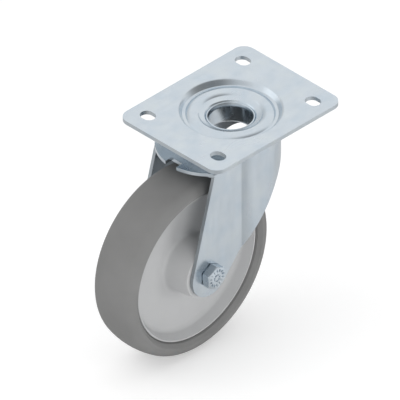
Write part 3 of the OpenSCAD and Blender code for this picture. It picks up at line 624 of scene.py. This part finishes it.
class CASTOR_OT_stage(Operator):
    """Makes the floor, the lamps, the sky and the photograph's camera"""

    bl_idname = "castor.stage"
    bl_label = "Stage"

    def execute(self, context):
        studio = context.scene.castor_studio
        self.make_floor(studio)
        self.make_sky(context.scene, studio.sky)
        middle = (CAD_BOX[0] + CAD_BOX[1]) / 2
        powers = (studio.key_power, studio.fill_power, studio.side_power)
        for (name, place, size), power in zip(LAMPS, powers):
            self.make_lamp(name, middle + Vector(place), middle, size, power)
        self.make_camera(context.scene, studio.frame_width)
        context.scene.view_settings.view_transform = "Standard"
        return {"FINISHED"}

    def make_floor(self, studio):
        """A pale floor, white to the camera but for the castor's shadow, with painted shade in the patches
        that metal mirrors.
        """
        z = CAD_BOX[0].z - FLOOR_GAP
        corners = [(x * FLOOR_HALF, y * FLOOR_HALF, z) for x, y in ((-1, -1), (1, -1), (1, 1), (-1, 1))]
        floor = new_piece("floor", corners, faces=[(0, 1, 2, 3)])
        made, tree, surface = new_material("floor_paint")
        rays = add_node(tree, "ShaderNodeLightPath").outputs
        where = add_node(tree, "ShaderNodeTexCoord").outputs["Object"]
        outwards = vectors(tree, "NORMALIZE", vectors(tree, "MULTIPLY", where, (1, 1, 0)))
        mirrored_tone = studio.floor_mirrored
        # Metal mirrors the floor darker within each patch: painted reflections of shade
        for *place, share in FLOOR_PAINTED_REFLECTIONS:
            painted_shade = patch(tree, outwards, *place, low=1.0, high=share)
            mirrored_tone = maths(tree, "MULTIPLY", mirrored_tone, painted_shade)
        # A Mix node's sockets share their names, so they are set by number
        tone = add_node(tree, "ShaderNodeMix", {
            0: rays["Is Glossy Ray"], 2: studio.floor_tone, 3: mirrored_tone}).outputs[0]
        paint = add_node(tree, "ShaderNodeBsdfDiffuse", {"Color": tone}).outputs[0]
        glow = add_node(tree, "ShaderNodeEmission", {"Strength": studio.floor_glow}).outputs[0]
        both = add_node(tree, "ShaderNodeAddShader", {0: paint, 1: glow}).outputs[0]
        mirrored_share = maths(tree, "MULTIPLY", rays["Is Glossy Ray"], studio.mirror_share)
        lit_share = maths(tree, "MAXIMUM", mirrored_share, studio.glow_share)
        seen = maths(tree, "MAXIMUM", rays["Is Camera Ray"], lit_share)
        switch = add_node(tree, "ShaderNodeMixShader", {0: seen, 1: paint, 2: both})
        tree.links.new(switch.outputs[0], surface)
        floor.data.materials.append(made)

    def make_sky(self, scene, strength):
        """Soft light from all round with a bright screen and dark boards, white to the camera."""
        world = bpy.data.worlds.new("studio_sky")
        scene.world = world
        world.use_nodes = True
        tree = world.node_tree
        tree.nodes.clear()
        where = add_node(tree, "ShaderNodeTexCoord").outputs["Generated"]
        tone = SKY_TONE
        for *place, lit in SKY_PATCHES:
            tone = mixed(tree, patch(tree, where, *place), tone, (lit, lit, lit, 1))
        light = add_node(tree, "ShaderNodeBackground", {"Color": tone, "Strength": strength}).outputs[0]
        white = add_node(tree, "ShaderNodeBackground", {"Color": (1, 1, 1, 1)}).outputs[0]
        rays = add_node(tree, "ShaderNodeLightPath").outputs
        seen = maths(tree, "MAXIMUM", rays["Is Camera Ray"], rays["Is Transmission Ray"])
        switch = add_node(tree, "ShaderNodeMixShader", {0: seen, 1: light, 2: white})
        output = add_node(tree, "ShaderNodeOutputWorld")
        tree.links.new(switch.outputs[0], output.inputs["Surface"])

    def make_lamp(self, name, at, towards, size, power):
        """A square lamp that faces a point and is mirrored nowhere."""
        data = bpy.data.lights.new(name, "AREA")
        data.size = size
        data.energy = power
        lamp = bpy.data.objects.new(name, data)
        lamp.visible_glossy = False
        lamp.visible_camera = False
        lamp.location = at
        lamp.rotation_mode = "QUATERNION"
        lamp.rotation_quaternion = (towards - at).to_track_quat("-Z", "Y")
        bpy.context.scene.collection.objects.link(lamp)

    def make_camera(self, scene, width):
        """The photograph's isometric camera."""
        right = Vector((1, 1, 0)).normalized()
        forward = Vector((-1, 1, -1)).normalized()
        up = right.cross(forward)
        aim = right * CAMERA_AIM[0] + up * CAMERA_AIM[1]
        data = bpy.data.cameras.new("photo_camera")
        data.type = "ORTHO"
        data.ortho_scale = width
        data.clip_end = CAMERA_CLIP
        camera = bpy.data.objects.new("photo_camera", data)
        camera.matrix_world = Matrix((right, up, -forward)).transposed().to_4x4()
        camera.location = aim - forward * CAMERA_DISTANCE
        scene.collection.objects.link(camera)
        scene.camera = camera


class CASTOR_OT_plate(Operator):
    """Plates the top plate and the hollow kingpin"""

    bl_idname = "castor.plate"
    bl_label = "Top plate and kingpin"

    def execute(self, context):
        finish = context.scene.castor_finish
        detail = context.scene.castor_detail
        zinc = zinc_material("plate_zinc", finish.zinc, finish.zinc_roughness,
                             stretch=(1, 0.25, 1), streak=0.02)
        cut = zinc_material("plate_cut_edge", finish.cut_edge, finish.cut_roughness,
                            stretch=(1, 1, 0.3), streak=0.04)
        dress_sheet("top_plate", zinc, detail.edge_break, cut,
                    sheet_normal=(0, 0, 1), away_from_axis=(1, 1, 0), distance=0.05)
        rivet = zinc_material("kingpin_zinc", shade(finish.zinc, KINGPIN_SHADE), finish.zinc_roughness)
        dress("kingpin", rivet)
        return {"FINISHED"}


class CASTOR_OT_swivel(Operator):
    """Finishes the balls, cages, race and seal of the swivel bearing"""

    bl_idname = "castor.swivel"
    bl_label = "Swivel bearing"

    def execute(self, context):
        finish = context.scene.castor_finish
        balls = steel_material("ball_steel", finish.ball, roughness=0.12)
        race = steel_material("race_steel", finish.race, roughness=0.3)
        cage = plastic_material("cage_plastic", finish.cage, roughness=0.5)
        seal = rubber_material("seal_rubber", finish.seal, roughness=0.55)
        for node, material in (("upper_balls", balls), ("lower_balls", balls), ("lower_race", race),
                               ("upper_ball_cage", cage), ("lower_ball_cage", cage), ("dust_seal", seal)):
            dress(node, material)
        return {"FINISHED"}


class CASTOR_OT_fork(Operator):
    """Plates the pressed fork"""

    bl_idname = "castor.fork"
    bl_label = "Fork"

    def execute(self, context):
        finish = context.scene.castor_finish
        detail = context.scene.castor_detail
        zinc = zinc_material("fork_zinc", shade(finish.zinc, FORK_SHADE), finish.zinc_roughness,
                             stretch=(1, 1, 0.2), streak=0.035)
        # The fork's cut edges are darker than the plate's: the sheared steel's own colour with painted shade
        # on top
        cut = zinc_material("fork_cut_edge", shade(finish.cut_edge, FORK_CUT_PAINTED_SHADE), finish.cut_roughness,
                            stretch=(1, 1, 0.3), streak=0.04)
        dress_sheet("swivel_fork", zinc, detail.edge_break, cut,
                    sheet_normal=(1, 0, 0), away_from_axis=(1, 0, 0), distance=0.0298)
        return {"FINISHED"}


class CASTOR_OT_tyre(Operator):
    """Makes the rubber tyre with its crowned tread and bevelled sides"""

    bl_idname = "castor.tyre"
    bl_label = "Tyre"

    def execute(self, context):
        rubber = rubber_material("tyre_rubber", context.scene.castor_finish.tyre, roughness=0.72)
        tyre = turned("tyre_skin", tyre_outline(context.scene.castor_detail), rubber)
        seat(tyre, "wheel", "tyre_rubber", "tyre")
        return {"FINISHED"}


class CASTOR_OT_wheel_centre(Operator):
    """Makes the moulded wheel centre"""

    bl_idname = "castor.wheel_centre"
    bl_label = "Wheel centre"

    def execute(self, context):
        plastic = plastic_material("centre_plastic", context.scene.castor_finish.centre, roughness=0.38)
        centre = turned("centre_skin", centre_outline(context.scene.castor_detail), plastic)
        seat(centre, "wheel", "centre_plastic", "wheel_centre")
        return {"FINISHED"}


class CASTOR_OT_roller_bearing(Operator):
    """Finishes the rollers, their cage, the axle tube and the hub's seals"""

    bl_idname = "castor.roller_bearing"
    bl_label = "Roller bearing"

    def execute(self, context):
        finish = context.scene.castor_finish
        dress("bearing_rollers", steel_material("roller_steel", finish.ball, roughness=0.15))
        dress("roller_cage", plastic_material("cage_nylon", finish.nylon, roughness=0.45))
        dress("axle_tube", steel_material("tube_steel", finish.tube, roughness=0.28))
        seal = rubber_material("hub_seal_rubber", finish.seal, roughness=0.5)
        dress("hub_seal_near", seal)
        dress("hub_seal_far", seal)
        return {"FINISHED"}


class CASTOR_OT_axle(Operator):
    """Makes the axle bolt, and finishes its washer, its nut and the locking ring"""

    bl_idname = "castor.axle"
    bl_label = "Axle bolt and nut"

    def execute(self, context):
        finish = context.scene.castor_finish
        detail = context.scene.castor_detail
        zinc = zinc_material("bolt_zinc", shade(finish.zinc, BOLT_SHADE), finish.bolt_roughness)
        for node in ("nut_washer", "axle_nut"):
            dress(node, zinc, detail.edge_break / 2)
        dress("lock_ring", plastic_material("ring_nylon", finish.nylon, roughness=0.4))
        bolt = self.make_bolt(detail)
        marks_x = BOLT_BOX[1].x + detail.mark_height / 2
        add_tree(bolt, "Head marks", head_mark_tree, count=detail.head_marks, ring_radius=detail.mark_radius,
                 height=detail.mark_height, place=(marks_x, AXLE.y, AXLE.z), finish=zinc)
        make_plain(bolt)
        break_edges(bolt, detail.edge_break / 2, angle=50, segments=1)
        seat(bolt, "fork", "bolt_zinc", "axle_bolt")
        return {"FINISHED"}

    def make_bolt(self, detail):
        """The bolt's threaded shank and its chamfered hexagonal head, as one object."""
        work = bmesh.new()
        overlap = 0.0001
        top = BOLT_BOX[1].x
        face = top - detail.head_height
        hexagon_x = face + detail.washer_face
        washer_r = detail.head_flats / 2 - detail.washer_inset
        self.cylinder(work, face, hexagon_x + overlap, washer_r)
        self.hexagon(work, detail, hexagon_x, top)
        end = BOLT_BOX[0].x
        start = end + detail.end_chamfer + detail.thread_length
        self.thread(work, detail, end, start)
        self.cylinder(work, start, face + overlap, detail.shank_radius)
        bmesh.ops.recalc_face_normals(work, faces=work.faces)
        sharp_angle = math.radians(34)
        for edge in work.edges:
            edge.smooth = len(edge.link_faces) == 2 and edge.calc_face_angle() < sharp_angle
        for side in work.faces:
            side.smooth = True
        piece = new_piece("axle_bolt_skin", [])
        work.to_mesh(piece.data)
        work.free()
        return piece

    def ring(self, work, points):
        """A ring of vertices about the axle, from an (x, radius) for each step."""
        turns = [2 * math.pi * i / BOLT_STEPS for i in range(BOLT_STEPS)]
        return [work.verts.new((x, AXLE.y + r * math.cos(turn), AXLE.z + r * math.sin(turn)))
                for (x, r), turn in zip(points, turns)]

    def bridge(self, work, rings):
        """Faces between neighbouring rings, and a fan over each end."""
        for a, b in zip(rings, rings[1:]):
            for i in range(BOLT_STEPS):
                after = (i + 1) % BOLT_STEPS
                work.faces.new((a[i], a[after], b[after], b[i]))
        for end in (rings[0], rings[-1]):
            x = sum(v.co.x for v in end) / BOLT_STEPS
            middle = work.verts.new((x, AXLE.y, AXLE.z))
            for i in range(BOLT_STEPS):
                work.faces.new((end[i], end[(i + 1) % BOLT_STEPS], middle))

    def cylinder(self, work, low, high, radius):
        """A plain round length of the bolt."""
        self.bridge(work, [self.ring(work, [(x, radius)] * BOLT_STEPS) for x in (low, high)])

    def hexagon(self, work, detail, low, high):
        """A hexagonal prism whose upper corners are cut back by a cone."""
        sixth = math.pi / 3
        chamfer_slope = math.tan(math.radians(30))
        half = detail.head_flats / 2
        face_r = half - detail.face_inset
        radii = []
        for i in range(BOLT_STEPS):
            off = (2 * math.pi * i / BOLT_STEPS - detail.head_turn) % sixth - sixth / 2
            radii.append(half / math.cos(off))
        foot = [(low, r) for r in radii]
        edge = [(high - (r - face_r) * chamfer_slope, r) for r in radii]
        face = [(high, face_r)] * BOLT_STEPS
        self.bridge(work, [self.ring(work, points) for points in (foot, edge, face)])

    def thread(self, work, detail, end, start):
        """A shank with a helical thread that runs out at its start, and a chamfered end."""
        rings_per_turn = 10
        # How fast the thread's depth grows with the share of a turn, and what its flat crest takes off that
        flank = 2.6
        crest = 0.2
        radius = detail.shank_radius
        count = int((start - end) / detail.thread_pitch * rings_per_turn)
        rings = []
        for k in range(count + 1):
            x = end + (start - end) * k / count
            limit = min(radius, radius - detail.end_chamfer + (x - end))
            fade = min(1.0, (start - x) / detail.thread_pitch)
            points = []
            for i in range(BOLT_STEPS):
                phase = ((x - end) / detail.thread_pitch - i / BOLT_STEPS) % 1.0
                depth = max(0.0, min(1.0, abs(phase - 0.5) * flank - crest))
                points.append((x, min(limit, radius - detail.thread_depth * depth * fade)))
            rings.append(self.ring(work, points))
        self.bridge(work, rings)


class CASTOR_PT_panel(Panel):
    """Lists the castor's sizes, colours and operators"""

    bl_idname = "CASTOR_PT_panel"
    bl_label = "Castor"
    bl_space_type = "VIEW_3D"
    bl_region_type = "UI"
    bl_category = "Castor"

    def draw(self, context):
        for group in (context.scene.castor_finish, context.scene.castor_detail, context.scene.castor_studio):
            box = self.layout.box()
            for name in group.__annotations__:
                box.prop(group, name)
        for operator in OPERATORS:
            self.layout.operator(operator.bl_idname)


GROUPS = (("castor_finish", CastorFinish), ("castor_detail", CastorDetail), ("castor_studio", CastorStudio))
OPERATORS = (CASTOR_OT_stage, CASTOR_OT_plate, CASTOR_OT_swivel, CASTOR_OT_fork, CASTOR_OT_tyre,
             CASTOR_OT_wheel_centre, CASTOR_OT_roller_bearing, CASTOR_OT_axle)


def register():
    """Registers the property groups, the operators and the panel."""
    for name, group in GROUPS:
        bpy.utils.register_class(group)
        setattr(bpy.types.Scene, name, PointerProperty(type=group))
    for operator in OPERATORS:
        bpy.utils.register_class(operator)
    bpy.utils.register_class(CASTOR_PT_panel)


def unregister():
    """Takes back what register made known."""
    bpy.utils.unregister_class(CASTOR_PT_panel)
    for operator in reversed(OPERATORS):
        bpy.utils.unregister_class(operator)
    for name, group in reversed(GROUPS):
        delattr(bpy.types.Scene, name)
        bpy.utils.unregister_class(group)


def main():
    register()
    bpy.ops.castor.stage()
    bpy.ops.castor.plate()
    bpy.ops.castor.swivel()
    bpy.ops.castor.fork()
    bpy.ops.castor.tyre()
    bpy.ops.castor.wheel_centre()
    bpy.ops.castor.roller_bearing()
    bpy.ops.castor.axle()


if __name__ == "__main__":
    main()
